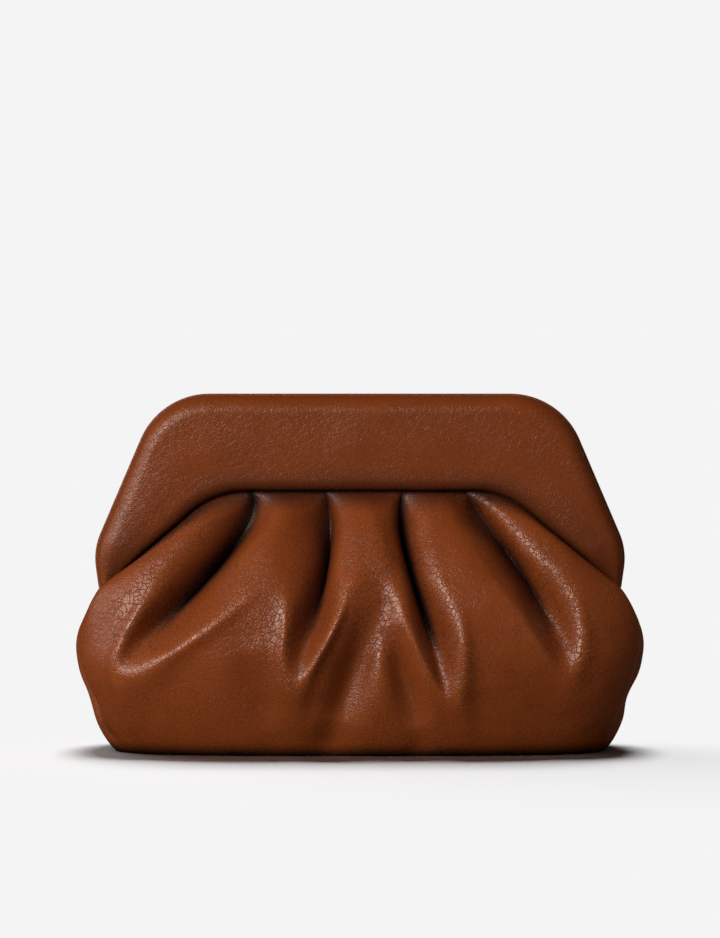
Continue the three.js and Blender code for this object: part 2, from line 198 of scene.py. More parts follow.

# Leathers: strength of the net of creases, brightness of the dye and relief of the grain
LEATHERS = {"Creased leather": (1.0, 0.96, 0.46), "Stretched leather": (0.9, 0.86, 0.5)}
GRAIN_DEPTH = 0.0006  # of the bump, in metres
GRAIN_DRIFT = 0.003  # how far the cells of the grain are pulled out of shape
GRAIN_SHARES = {"crush": 0.9, "fine": 0.4, "crease": 0.6}  # of crushed leather, fine grain and creases
DARK_SHARES = {"Crease": 0.42, "Valley": 0.97}  # how far the fine creases of the grain, and the painted shade, go to the shade colour
RUBBED_SHARES = {"ridge": 0.25, "fleck": 0.9}  # how far plain ridges and flecks go to the rubbed colour
ROUGH_SHARES = {"Ridge": -0.08, "fleck": 0.15, "Crease": 0.35, "Valley": 0.3}  # what each adds to roughness
LEATHER_SHINE = {"Specular IOR Level": 0.39, "Specular Tint": (1.0, 0.88, 0.80, 1)}
# Steel: cells of its brush marks in a metre along x, y and z, and its colours
STEEL = {"marks": (120.0, 4000.0, 4000.0), "dark": (0.42, 0.40, 0.38, 1), "light": (0.60, 0.58, 0.56, 1)}
# Ranges of a pattern's value, from start to end, and of what they become, from low to high
RANGES = {
    "crease": (0.0, 0.075, 1.0, 0.0),
    "crease_patch": (0.4, 0.65, 0.16, 0.6),
    "pebble_groove": (0.0, 0.22, 0.17, 0.0),
    "dye": (0.3, 0.75, 0.0, 0.16),
    "fleck": (0.35, 0.65, 0.0, 0.5),
    "brush_mark": (0.3, 0.7, 0.28, 0.46),
}

# Studio
PALE = 0.905  # how bright the floor looks
FLOOR_REACH = 60.0  # half of the floor's side
LIGHT_AIM = (0, 0, 0.08)
# Lights on the bag by the name of their power: place, colour, width, height and whether their shine shows
BAG_LIGHTS = {
    "key": ((-1.05, -1.35, 0.95), (1.0, 0.985, 0.965), 1.0, 0.9, True),
    "side": ((-1.7, -0.30, 0.60), (1.0, 0.985, 0.965), 0.9, 1.0, True),
    "fill": ((1.55, -1.30, 0.55), (1.0, 0.96, 0.92), 2.4, 2.0, False),
    "back": ((0.4, 2.0, 1.0), (1.0, 0.98, 0.96), 2.4, 1.4, False),
}
# Suns on the floor alone by the name of their strength: place and angle
FLOOR_LIGHTS = {"lamp": ((0.0, 0.79, 2.0), 0.42), "wash": ((-1.5, 1.3, 1.4), 0.9)}

# Camera: the image is taken to be 720 x 938 pixels
CAMERA = {"place": (0.0, -2.4, 0.23), "aim": (0.0, 0.0, 0.148), "lens": 174.5, "sensor": 36.0}


class FrameSizes(bpy.types.PropertyGroup):
    """Sizes of the padded frame."""

    top: FloatProperty(
        name="Top", description="Top edge above the floor", default=FRAME_BOX[1][2], unit="LENGTH"
    )
    sill: FloatProperty(
        name="Sill", description="Lower edge of the top band above the floor", default=0.1372, unit="LENGTH"
    )
    face: FloatProperty(
        name="Face", description="Padded face in front of the parting plane", default=0.013, unit="LENGTH"
    )
    crown: FloatProperty(
        name="Crown", description="How much further out the face's middle is", default=0.0004, unit="LENGTH"
    )
    rim: FloatProperty(
        name="Rim", description="Depth of the bare rim of one half", default=0.0022, unit="LENGTH"
    )
    outer_roll: FloatProperty(
        name="Outer roll", description="Rounding of the padding's outer edge", default=0.0095, unit="LENGTH"
    )
    inner_roll: FloatProperty(
        name="Inner roll", description="Rounding of its edge at the pouch", default=0.0065, unit="LENGTH"
    )


class PouchSizes(bpy.types.PropertyGroup):
    """Sizes of the soft pouch."""

    half_width: FloatProperty(
        name="Half width", description="Half of the belly's width", default=0.150, unit="LENGTH"
    )
    half_depth: FloatProperty(
        name="Half depth", description="Half of the belly's depth", default=0.057, unit="LENGTH"
    )
    belly: FloatProperty(
        name="Belly", description="Height at which the pouch is widest", default=0.055, unit="LENGTH"
    )
    foot_width: FloatProperty(
        name="Foot width", description="Half of the width on the floor", default=0.128, unit="LENGTH"
    )
    foot_depth: FloatProperty(
        name="Foot depth", description="Half of the depth on the floor", default=0.041, unit="LENGTH"
    )
    wall: FloatProperty(
        name="Wall", description="Thickness of the leather", default=0.0014, unit="LENGTH"
    )
    wrinkle: FloatProperty(
        name="Wrinkle", description="Height of the fine unevenness", default=0.0005, unit="LENGTH"
    )


class LeatherLook(bpy.types.PropertyGroup):
    """Colours and grain of the leather."""

    colour: FloatVectorProperty(
        name="Colour", description="Colour of the leather", subtype="COLOR", default=(0.235, 0.047, 0.009)
    )
    # Dark colour of the darker dye clouds and the fine creases of the grain, and of the painted shade
    shade: FloatVectorProperty(
        name="Shade", description="Colour in the creases", subtype="COLOR", default=(0.012, 0.0015, 0.0004)
    )
    rubbed: FloatVectorProperty(
        name="Rubbed", description="Colour on the ridges", subtype="COLOR", default=(0.290, 0.070, 0.018)
    )
    roughness: FloatProperty(
        name="Roughness", description="How dull it is", default=0.25, min=0.0, max=1.0, subtype="FACTOR"
    )
    crackle: FloatProperty(
        name="Crackle", description="Size of the cells between fine creases", default=0.0034, unit="LENGTH"
    )
    pebble: FloatProperty(
        name="Pebble", description="Size of the fine grain", default=0.0014, unit="LENGTH"
    )


class StudioLook(bpy.types.PropertyGroup):
    """Floor and light of the studio."""

    floor: FloatVectorProperty(
        name="Floor", description="Colour of the floor", subtype="COLOR", default=(0.92, 0.92, 0.92)
    )
    bounce: FloatProperty(
        name="Bounce", description="Share of light that it throws back", default=0.04, subtype="FACTOR"
    )
    key: FloatProperty(name="Key", description="Power of the main light", default=34.5, unit="POWER")
    side: FloatProperty(name="Side", description="Power of the left light", default=7.2, unit="POWER")
    fill: FloatProperty(name="Fill", description="Power of the right light", default=11.0, unit="POWER")
    back: FloatProperty(name="Back", description="Power of the back light", default=30.0, unit="POWER")
    lamp: FloatProperty(name="Lamp", description="Strength of the light on the floor", default=2.76)
    wash: FloatProperty(name="Wash", description="Strength of the soft light on the floor", default=0.8)
    sky: FloatProperty(name="Sky", description="Strength of the light all round", default=0.02)


def smooth(x):
    """A step from 0 to 1 that starts and ends level: x squared times 3 minus 2x, held outside 0 to 1."""
    x = np.clip(x, 0.0, 1.0)
    return x * x * (3.0 - 2.0 * x)


def lerp(start, end, share):
    """The value that share of the way from start to end."""
    return start + (end - start) * share


def bell(distance, width):
    """A bell of height 1 at distance 0, which falls off as exp(-(distance / width) ** 2)."""
    return np.exp(-((distance / width) ** 2))


def unit(vectors):
    """Vectors at length 1."""
    return vectors / np.maximum(np.linalg.norm(vectors, axis=-1, keepdims=True), LEAST["length"])


def through(xs, ys, x):
    """A cubic curve through the points that never overshoots them: its slope at a point is the harmonic
    mean of the slopes on both sides."""
    xs = np.asarray(xs, float)
    ys = np.asarray(ys, float)
    rises = np.diff(ys) / np.diff(xs)
    before = rises[:-1]
    after = rises[1:]
    product = before * after
    both = np.where(product > 0, before + after, 1.0)
    inner = np.where(product > 0, 2 * product / both, 0.0)
    slopes = np.concatenate([rises[:1], inner, rises[-1:]])
    i = np.clip(np.searchsorted(xs, x, side="right") - 1, 0, len(rises) - 1)
    span = xs[i + 1] - xs[i]
    t = (x - xs[i]) / span
    bow = slopes[i] * t * (1 - t) ** 2 - slopes[i + 1] * t * t * (1 - t)
    return lerp(ys[i], ys[i + 1], smooth(t)) + span * bow


def soft_noise(points, cell, seed):
    """Smooth random values from -1 to 1: random numbers on a cubic lattice, eased between its corners."""
    lattice = np.random.default_rng(seed).uniform(-1, 1, (LATTICE,) * 3)
    place = points / cell
    low = np.floor(place).astype(int)
    share = smooth(place - low)
    total = np.zeros(points.shape[:-1])
    for corner in np.ndindex(2, 2, 2):
        index = (low + np.array(corner)) % LATTICE
        weight = np.where(np.array(corner) == 1, share, 1 - share).prod(axis=-1)
        total += weight * lattice[index[..., 0], index[..., 1], index[..., 2]]
    return total


def route_length(route):
    """Length of a route's straight runs and arcs together."""
    return sum(straight + radius * math.radians(turn) for straight, radius, turn in route)


def along_route(height, route, distance):
    """Points at distances along a route that starts level at x = 0: each straight run is followed by an
    arc that turns down. A negative distance gives the mirrored point. Returns x, z and the heading below
    the level."""
    left = np.abs(distance)
    x = np.zeros_like(left)
    z = np.full_like(left, height)
    heading = np.zeros_like(left)
    for straight, radius, turn in route:
        run = np.minimum(left, straight)
        x = x + run * np.cos(heading)
        z = z - run * np.sin(heading)
        left = left - run
        angle = np.minimum(left / radius, math.radians(turn))
        x = x + radius * (np.sin(heading + angle) - np.sin(heading))
        z = z - radius * (np.cos(heading) - np.cos(heading + angle))
        heading = heading + angle
        left = left - angle * radius
    return x * np.sign(distance), z, heading


def lattice_faces(rows, columns):
    """Quads between the neighbours of a grid whose columns close into rings."""
    index = np.arange(rows * columns).reshape(rows, columns)
    low = index[:-1]
    high = index[1:]
    return np.stack([low, np.roll(low, -1, 1), np.roll(high, -1, 1), high], axis=-1).reshape(-1, 4)


def tube_mesh(name, rings, first_pole, last_pole):
    """A closed mesh through rings of points: quads between the rings and a fan from each end ring to its
    pole."""
    rows, columns, _ = rings.shape
    points = np.concatenate([rings.reshape(-1, 3), [first_pole, last_pole]])
    ring = np.arange(columns)
    after = np.roll(ring, -1)
    last = (rows - 1) * columns
    first_fan = np.stack([after, ring, np.full(columns, rows * columns)], axis=-1)
    last_fan = np.stack([last + ring, last + after, np.full(columns, rows * columns + 1)], axis=-1)
    quads = lattice_faces(rows, columns)
    fans = np.concatenate([first_fan, last_fan])
    corners = np.concatenate([quads.ravel(), fans.ravel()])
    starts = np.concatenate([4 * np.arange(len(quads)), quads.size + 3 * np.arange(len(fans))])
    mesh = bpy.data.meshes.new(name)
    mesh.vertices.add(len(points))
    mesh.vertices.foreach_set("co", points.ravel())
    mesh.loops.add(len(corners))
    mesh.loops.foreach_set("vertex_index", corners)
    mesh.polygons.add(len(starts))
    mesh.polygons.foreach_set("loop_start", starts)
    mesh.update(calc_edges=True)
    mesh.shade_smooth()
    return mesh


def add_piece(mesh, material):
    """An object of the mesh in the scene, with one material."""
    mesh.materials.append(material)
    piece = bpy.data.objects.new(mesh.name, mesh)
    bpy.context.collection.objects.link(piece)
    return piece


def add_attribute(mesh, name, values):
    """A value for each point, with zero for the points that are left at the end."""
    data = np.zeros(len(mesh.vertices))
    data[: values.size] = values.ravel()
    mesh.attributes.new(name, "FLOAT", "POINT").data.foreach_set("value", data)


def pad_profile(sizes, width, swell, slot, arch):
    """Section of the padding at stations along the frame, as distances inside the outer edge and depths
    in front of the parting plane: the bare rim with rounded edges, a step, a quarter roll, a crowned
    face, a quarter roll down to the lip, then the slot and its back wall. arch is the share of a rounder
    section, a superellipse."""
    width = width[:, None]
    swell = swell[:, None]
    face = sizes.face * swell
    outer = np.minimum(sizes.outer_roll, ROLL_SHARE["outer"] * width)
    inner = np.minimum(sizes.inner_roll, ROLL_SHARE["inner"] * width)
    slot_top = width - slot[:, None] * np.minimum(SLOT_RISE["height"], SLOT_RISE["share"] * width)
    shoulder = sizes.rim + RIM_STEP["depth"]
    lip = np.minimum(LIP["depth"], face - LIP["below_face"])
    slot_front = lip - LIP["thickness"]
    quarter = np.linspace(0, math.pi / 2, ROLL_STEPS)[None]
    middle = np.linspace(0, 1, CROWN_STEPS + 2)[None, 1:-1]
    start = RIM_STEP["inset"] + outer
    flat = np.ones_like(width)
    points = [
        (RIM_EDGE * flat, PARTING * flat),
        (0 * flat, (PARTING + RIM_EDGE) * flat),
        (0 * flat, (sizes.rim - RIM_EDGE) * flat),
        (RIM_ROUND * RIM_EDGE * flat, (sizes.rim - RIM_ROUND * RIM_EDGE) * flat),
        (RIM_EDGE * flat, sizes.rim * flat),
        ((RIM_STEP["inset"] - RIM_EDGE / 2) * flat, sizes.rim * flat),
        (RIM_STEP["inset"] + outer * (1 - np.cos(quarter)), shoulder + (face - shoulder) * np.sin(quarter)),
        (lerp(start, width - inner, middle), face + sizes.crown * swell * np.sin(math.pi * middle) ** 2),
        (width - inner * (1 - np.sin(quarter)), lip + (face - lip) * np.cos(quarter)),
        (width, slot_front + RIM_EDGE),
        (width - RIM_EDGE, slot_front),
        (slot_top, slot_front),
        (slot_top, SLOT_BACK * flat),
        (width, SLOT_BACK * flat),
        (width, PARTING * flat),
    ]
    inset, depth = (np.concatenate(values, axis=1) for values in zip(*points))
    padded = slice(RIM_POINTS, RIM_POINTS + 2 * ROLL_STEPS + CROWN_STEPS)
    across = (inset[:, padded] - RIM_STEP["inset"]) / (width - RIM_STEP["inset"])
    bulge = (1 - np.abs(2 * across - 1) ** LEG_ARCH["power"]) ** (1 / LEG_ARCH["power"])
    ends = lerp(shoulder, lip, across)
    depth[:, padded] = lerp(depth[:, padded], ends + (face - ends) * bulge, arch[:, None])
    return inset, depth


def frame_half(sizes, facing):
    """One padded half of the frame: the section is carried from tip to tip between the outer and the
    inner route, which are paired at equal shares of their length. The padding tapers to the tips, and
    each tip is rounded off by drawing its section together. facing is -1 for the front and 1 for the
    back. Returns rings, poles and the painted shade on the padding towards the pouch."""
    turn = np.linspace(-math.pi / 2, math.pi / 2, FRAME_STATIONS)
    share = lerp(turn / (math.pi / 2), np.sin(turn), STATION_CROWD)
    outer_x, outer_z, _ = along_route(sizes.top, OUTER_ROUTE, share * route_length(OUTER_ROUTE))
    inner_x, inner_z, _ = along_route(sizes.sill, INNER_ROUTE, share * route_length(INNER_ROUTE))
    width = np.hypot(inner_x - outer_x, inner_z - outer_z)
    to_tip = 1 - np.abs(share)
    swell = lerp(TIP_TAPER["swell"], 1, smooth(to_tip / TIP_TAPER["share"]))
    arch = 1 - smooth(to_tip / LEG_ARCH["share"])
    inset, depth = pad_profile(sizes, width, swell, smooth(to_tip / SLOT_END), arch)
    across = inset / width[:, None]
    x = lerp(outer_x[:, None], inner_x[:, None], across)
    z = lerp(outer_z[:, None], inner_z[:, None], across)
    rings = np.stack([x, facing * depth, z], axis=-1)
    padding = smooth((depth - sizes.rim) / (PAD_DIMPLE["share"] * sizes.face)) * (across < 1)
    dimple = soft_noise(rings, PAD_DIMPLE["cell"], PAD_DIMPLE["seed"]) * PAD_DIMPLE["height"]
    rings[..., 1] += facing * padding * dimple
    middle = rings.mean(axis=1, keepdims=True)
    drawn = np.sqrt(1 - (1 - np.clip(to_tip / TIP_ROUND["share"], TIP_ROUND["start"], 1)) ** 2)
    rings = middle + (rings - middle) * drawn[:, None, None]
    # Painted shade where the pouch shades the padding: along its lower edge, and across the legs
    edge = smooth((across - PAD_PAINTED_SHADE["edge_start"]) / (1 - PAD_PAINTED_SHADE["edge_start"]))
    leg = arch[:, None] * smooth((across - PAD_PAINTED_SHADE["leg_start"]) / PAD_PAINTED_SHADE["leg_reach"])
    shade = np.maximum(PAD_PAINTED_SHADE["edge"] * edge, PAD_PAINTED_SHADE["leg"] * leg)
    order = slice(None, None, -facing)
    return rings[:, order], rings[0].mean(axis=0), rings[-1].mean(axis=0), shade[:, order]


def section_values():
    """The columns of the table of sections by name."""
    return dict(zip(SECTION_NAMES, np.array(list(SECTIONS.values()), float).T))


def column_places():
    """Places of the mesh columns across the front, crowded near the pleats: equal steps of the sum of a
    level density and a bell round each pleat."""
    last = section_values()["place"][-1]
    fine = np.linspace(0, last, COLUMN_CROWD["steps"] * COLUMNS)
    middles = np.array([pleat[0] for pleat in PLEATS.values()])
    bells = bell(fine[:, None] - middles, COLUMN_CROWD["reach"]).sum(axis=1)
    total = np.cumsum(1 + COLUMN_CROWD["gain"] * bells)
    return np.interp(np.linspace(total[0], total[-1], COLUMNS + 1), total, fine)


def plan_outline(half_width, half_depth, squareness, height, degrees):
    """Outline with rounded corners from above, a superellipse: angle 0 is the middle of the front."""
    across = np.sin(np.radians(degrees))
    ahead = np.maximum(0, np.cos(np.radians(degrees)))
    x = half_width * np.sign(across) * np.abs(across) ** (2 / squareness)
    y = -half_depth * ahead ** (2 / squareness)
    return np.stack([x, y, np.full_like(x, height)], axis=-1)


def rim_line(sizes, distance):
    """The pouch's top edge at distances along the frame's inner edge, the points where its wall leaves
    the slot and the ways in which it does. Past the tip of a leg the edge comes out of the slot and
    crosses to the back."""
    side = np.sign(distance)
    tip = route_length(INNER_ROUTE)
    along = np.minimum(np.abs(distance), tip)
    x, z, heading = along_route(sizes.sill, INNER_ROUTE, side * along)
    rise = lerp(RIM_RISE, -RIM_UNDER_TIP, smooth((along - tip + RIM_TURN) / RIM_TURN))
    away = np.stack([-side * np.sin(heading), 0 * x, -np.cos(heading)], axis=-1)
    rim = np.stack([x, np.full_like(x, -RIM_IN_SLOT), z], axis=-1) - rise[:, None] * away
    crossing = np.clip((np.abs(distance) - tip) / GUSSET_LINK, 0, 1)
    rim[:, 0] = lerp(rim[:, 0], side * GUSSET_RIM["x"], crossing)
    rim[:, 2] = lerp(rim[:, 2], GUSSET_RIM["z"], crossing)
    rim[:, 1] = -RIM_IN_SLOT * np.sqrt(1 - crossing**2)
    gusset = np.stack([side * GUSSET_AWAY["x"], 0 * x, np.full_like(x, GUSSET_AWAY["z"])], axis=-1)
    away = unit(lerp(away, gusset, crossing[:, None]))
    leave = rim + (np.maximum(rise, 0) + RIM_EXIT)[:, None] * away
    return rim, leave, away


def bezier(points, steps):
    """Points at equal steps of cubic curves, whose four control points are given for each column."""
    t = np.linspace(0, 1, steps + 1)[:, None, None]
    start, pull, push, end = points
    return (1 - t) ** 3 * start + 3 * t * (1 - t) ** 2 * pull + 3 * t * t * (1 - t) * push + t**3 * end


def smooth_front(pouch, padded, places):
    """The pouch's front without pleats, row by row from its foot to its top edge: each column is a curve
    from the foot to the belly, one on to the slot and a short neck inside it. Returns also where the
    slot is."""
    values = section_values()
    at = {name: through(values["place"], values[name], places) for name in SECTION_NAMES}
    foot = plan_outline(pouch.foot_width, pouch.foot_depth, FOOT_SQUARENESS, 0, at["foot"])
    belly = plan_outline(pouch.half_width, pouch.half_depth, BELLY_SQUARENESS, pouch.belly, at["belly"])
    rim, leave, away = rim_line(padded, at["rim"])
    right, ahead, up = np.array([(1.0, 0.0, 0.0), (0.0, -1.0, 0.0), (0.0, 0.0, 1.0)])
    sideways = np.sin(np.radians(at["belly"])) ** FOOT_FLARE["power"]
    run = lerp(FOOT_FLARE["front"], FOOT_FLARE["side"], sideways)
    flare = lerp(foot, belly * (1, 1, 0), run[:, None])
    lean = np.outer(at["lean"], right)
    lift = belly + np.outer(at["rise"], up) + lean
    drop = belly - BELLY_DROP * (up + lean / at["rise"][:, None])
    bend = leave + at["reach"][:, None] * away
    bend += np.outer(at["sway"], right) + np.outer(at["forward"], ahead)
    lower = bezier((foot, flare, drop, belly), LOWER_ROWS)
    upper = bezier((belly, lift, bend, leave), UPPER_ROWS)
    neck = lerp(leave, rim, np.linspace(0, 1, NECK_ROWS + 1)[:, None, None])
    return np.concatenate([lower, upper[1:], neck[1:]]), leave[:, 2]


def around(front):
    """Values on closed rings from those on the front half: the back half has the same ones, coarser."""
    return np.concatenate([front, front[:, BACK_EVERY:-1:BACK_EVERY][:, ::-1]], axis=1)


def ring_of(front):
    """Closed rings from the front half's rows: the back half is its mirror image."""
    rings = around(front)
    rings[:, front.shape[1] :, 1] *= -1
    return rings


def outward(rings):
    """Outward directions of closed rings: the cross product of the steps along and up the surface."""
    along = np.roll(rings, -1, axis=1) - np.roll(rings, 1, axis=1)
    up = np.gradient(rings, axis=0)
    return unit(np.cross(along, up))


def pleat_moves(front, places, slot_height):
    """How far the pleats push each point of the smooth front in, and the painted shade that they put on it,
    in the creases where the folds shade each other and just below the slot in the frame's shadow. At the
    foot the depth across a pleat falls off as exp(-(distance / width) ** power), a round valley. Higher
    up, with q = distance / reach, it falls off as 1 - sqrt(q * (2 - q)) on the side with the longer reach,
    a roll, and as exp(-tight * q) on the other side, an edge. Up the pleat the depth grows fast in a scoop
    at the foot, then slowly, and is pinched together at the slot. A low lip stands round the foot."""
    steps = np.linalg.norm(np.diff(front, axis=1), axis=-1)
    along = np.concatenate([np.zeros((len(front), 1)), np.cumsum(steps, axis=1)], axis=1)
    height = front[..., 2]
    opening = lerp(PLEAT_PINCH, 1, smooth((slot_height - height) / PLEAT_OPENING))
    depth = np.zeros_like(height)
    # Painted shade just below the slot, where the frame shades the pouch
    shade = SLOT_PAINTED_SHADE["share"] * smooth(1 - (slot_height - height) / SLOT_PAINTED_SHADE["height"])
    for place, full, left, right, left_foot, right_foot, foot, dark, left_lip, right_lip in PLEATS.values():
        i = min(np.searchsorted(places, place, side="right") - 1, len(places) - 2)
        share = (place - places[i]) / (places[i + 1] - places[i])
        offset = along - lerp(along[:, i], along[:, i + 1], share)[:, None]
        scooped = np.abs(offset) / np.where(offset < 0, left_foot, right_foot)
        rolled = np.abs(offset) / np.where(offset < 0, left, right)
        outline = foot + PLEAT_HOLLOW["height"] * np.minimum(scooped, PLEAT_HOLLOW["reach"]) ** 2
        above = (height - outline) / PLEAT_SCOOP["edge"]
        scoop = 1 - np.exp(-np.logaddexp(0, above) * PLEAT_SCOOP["edge"] / PLEAT_SCOOP["length"])
        climb = smooth((height - foot) / PLEAT_CLIMB)
        close = smooth((height - foot - PLEAT_CLOSE["start"]) / PLEAT_CLOSE["length"])
        inner = np.minimum(rolled, 1)
        tight = np.where(offset < 0, left < right, right < left)
        crease = np.where(tight, np.exp(-PLEAT_TIGHT * rolled), 1 - np.sqrt(inner * (2 - inner)))
        bowl = np.exp(-(scooped**PLEAT_ROUND))
        section = lerp(bowl, crease, close)
        edge = (scoop * bowl / PLEAT_LIP["share"]) ** PLEAT_LIP["spread"]
        depth += full * opening * scoop * lerp(PLEAT_SCOOP["share"], 1, climb) * section
        lip = lerp(left_lip, right_lip, smooth(offset / (left_foot + right_foot) + 0.5))
        depth -= PLEAT_LIP["height"] * lip * (1 - close) * edge * np.exp(1 - edge)
        # Painted shade in a deep crease, where the folds shade it
        shown = dark * smooth((height - foot - PLEAT_PAINTED_SHADE["start"]) / PLEAT_PAINTED_SHADE["length"])
        shade = np.maximum(shade, shown * bell(rolled, PLEAT_PAINTED_SHADE["reach"]))
    return depth, shade


def from_line(points, start, end):
    """Distances of points from the line between two points, and their shares of its length."""
    here = points - start
    run = np.subtract(end, start)
    share = np.clip(here @ run / (run @ run), 0, 1)
    return np.linalg.norm(here - share[..., None] * run, axis=-1), share


def crush_share(rings):
    """How crushed the leather of the front is: the strongest bell across the lines of crushed leather."""
    crushed = np.zeros(rings.shape[:2])
    for start, end, width in CRUSHED.values():
        distance, _ = from_line(rings[..., [0, 2]], start, end)
        crushed = np.maximum(crushed, bell(distance, width))
    return crushed


def dent_depth(front, facing):
    """Depth of the dents: a bell across each line, weaker at its ends and where the wall turns away."""
    across = {"front": front[..., 0], "left": front[..., 1], "right": front[..., 1]}
    turned = {"front": -facing[..., 1], "left": -facing[..., 0], "right": facing[..., 0]}
    total = np.zeros(front.shape[:2])
    for face, start, end, depth, width in DENTS.values():
        distance, share = from_line(np.stack([across[face], front[..., 2]], axis=-1), start, end)
        fade = np.sin(math.pi * np.clip(share, DENT_END, 1 - DENT_END))
        total += depth * fade * np.maximum(0, turned[face]) * bell(distance, width)
    return total


def soft_least(first, second):
    """The lesser of two lengths with a soft change between them: their product over the fourth root of
    the sum of their fourth powers."""
    return first * second / (first**4 + second**4 + LEAST["fourth"]) ** 0.25


def pouch_outside(pouch, padded):
    """Rings of the pouch's outside: the smooth front is pushed in by the pleats, mostly straight back and
    never closer to the parting plane than a valley may be, and by the dents, mirrored to the back, then
    made uneven by noise of two sizes. Returns them and the painted shade of the pleats and the slot."""
    places = column_places()
    front, slot_height = smooth_front(pouch, padded, places)
    facing = outward(ring_of(front))[:, : COLUMNS + 1]
    facing[0] = (0, 0, -1)
    depth, shade = pleat_moves(front, places, slot_height)
    turn = PLEAT_TURN["share"] * smooth(-facing[..., 1] / PLEAT_TURN["facing"])
    push = unit(lerp(facing, np.array([0.0, -1.0, 0.0]), turn[..., None]))
    room = np.maximum(-front[..., 1] - VALLEY_ROOM, 0) / np.maximum(-push[..., 1], VALLEY_SLANT)
    sunk = soft_least(depth, room)
    sunk[0] = 0
    dent = dent_depth(front, facing)
    dent[0] = 0
    rings = ring_of(front - sunk[..., None] * push - dent[..., None] * facing)
    height = rings[..., 2]
    calm = smooth(height / WRINKLE_FADE) * smooth((slot_height.max() - height) / WRINKLE_FADE)
    rough = sum(share * soft_noise(rings, cell, seed) for cell, share, seed in WRINKLES)
    return rings + (pouch.wrinkle * rough * calm)[..., None] * outward(rings), around(shade)


def bend_of(rings):
    """Curvature of closed rings along and up, positive on ridges: how much the outward direction turns
    per step, smoothed."""
    facing = outward(rings)
    total = np.zeros(rings.shape[:2])
    for axis in (0, 1):
        step = np.roll(rings, -1, axis) - np.roll(rings, 1, axis)
        turn = np.roll(facing, -1, axis) - np.roll(facing, 1, axis)
        total += (step * turn).sum(axis=-1) / np.maximum((step * step).sum(axis=-1), LEAST["square"])
    total[[0, -1]] = 0
    for _ in range(BEND_PASSES):
        total = (np.roll(total, 1, 1) + 2 * total + np.roll(total, -1, 1)) / 4
        total[1:-1] = (total[:-2] + 2 * total[1:-1] + total[2:]) / 4
    return total


def pouch_shell(pouch, padded):
    """The whole hollow pouch: rings from the middle of the base outwards, up the outside, over the top
    edge, down the inside a wall's thickness away, and back to the middle. Returns rings, poles and how
    far each point of the outside is a ridge, how much painted shade it gets and how crushed it is."""
    outside, shade = pouch_outside(pouch, padded)
    facing = outward(outside)
    facing[0] = (0, 0, -1)
    rows = np.unique(np.append(np.arange(0, len(outside), INNER_EVERY), len(outside) - 1))[::-1]
    inside = outside[rows] - pouch.wall * facing[rows]
    base = np.stack([outside[0] * (share, share, 1) for share in FLOOR_SHARES[::-1]])
    floor = np.stack([inside[-1] * (share, share, 1) for share in FLOOR_SHARES])
    rings = np.concatenate([base, outside, inside, floor])
    bend = bend_of(outside)
    level = np.zeros(base.shape[:2])
    ridge = smooth((bend - RIDGE_CURVE[0]) / (RIDGE_CURVE[1] - RIDGE_CURVE[0]))
    valley = smooth((-bend - VALLEY_CURVE[0]) / (VALLEY_CURVE[1] - VALLEY_CURVE[0]))
    # Painted shade along the foot, where the pouch meets the floor
    foot_painted_shade = FLOOR_PAINTED_SHADE["share"] * smooth(1 - outside[..., 2] / FLOOR_PAINTED_SHADE["height"])
    # All the painted shade together, from the pleats, the slot, the foot and the valleys, goes to the
    # valley attribute
    dark = np.maximum(np.maximum(shade, foot_painted_shade), VALLEY_PAINTED_SHADE * valley)
    looks = {"ridge": ridge, "valley": dark, "crush": crush_share(outside)}
    looks = {name: np.concatenate([level, values]) for name, values in looks.items()}
    return rings, (0, 0, 0), (0, 0, inside[-1, 0, 2]), looks


def feed(tree, node, inputs):
    """A value or a link for each named input of a node."""
    for name, value in inputs.items():
        if isinstance(value, bpy.types.NodeSocket):
            tree.links.new(value, node.inputs[name])
        else:
            node.inputs[name].default_value = value


def add_node(tree, kind, inputs=None, **settings):
    """A node of a kind with its settings and inputs."""
    node = tree.nodes.new(kind)
    for name, value in settings.items():
        setattr(node, name, value)
    feed(tree, node, inputs or {})
    return node


def maths(tree, operation, first, second, clamp=False):
    """The result of one operation on two values."""
    node = add_node(tree, "ShaderNodeMath", {0: first, 1: second}, operation=operation, use_clamp=clamp)
    return node.outputs[0]


def times(tree, first, second):
    """The product of two values."""
    return maths(tree, "MULTIPLY", first, second)


def vector_maths(tree, operation, first, second):
    """The result of one operation on two vectors."""
    return add_node(tree, "ShaderNodeVectorMath", {0: first, 1: second}, operation=operation).outputs[0]


def blend_colour(tree, share, first, second):
    """The colour that share of the way from the first to the second."""
    return add_node(tree, "ShaderNodeMix", {0: share, 6: first, 7: second}, data_type="RGBA").outputs[2]


def noise(tree, place, scale, detail, roughness=0.5):
    """Clouds with so many cells in a metre, as a value and as a colour."""
    inputs = {"Vector": place, "Scale": scale, "Detail": detail, "Roughness": roughness}
    return add_node(tree, "ShaderNodeTexNoise", inputs).outputs


def cell_edges(tree, place, scale):
    """Distance from the edges between cells, with so many cells in a metre."""
    inputs = {"Vector": place, "Scale": scale}
    return add_node(tree, "ShaderNodeTexVoronoi", inputs, feature="DISTANCE_TO_EDGE").outputs["Distance"]


def remap(tree, value, name):
    """A value carried over from one range to another by the name of the ranges, and held there."""
    inputs = dict(zip(("From Min", "From Max", "To Min", "To Max"), RANGES[name]))
    return add_node(tree, "ShaderNodeMapRange", {"Value": value, **inputs}).outputs[0]


def new_group(name, inputs, outputs):
    """An empty shader node group with its sockets by name and kind, and its inner inputs and outputs."""
    tree = bpy.data.node_groups.new(name, "ShaderNodeTree")
    for way, sockets in (("INPUT", inputs), ("OUTPUT", outputs)):
        for label, kind in sockets.items():
            tree.interface.new_socket(label, in_out=way, socket_type="NodeSocket" + kind)
    return tree, tree.nodes.new("NodeGroupInput").outputs, tree.nodes.new("NodeGroupOutput")


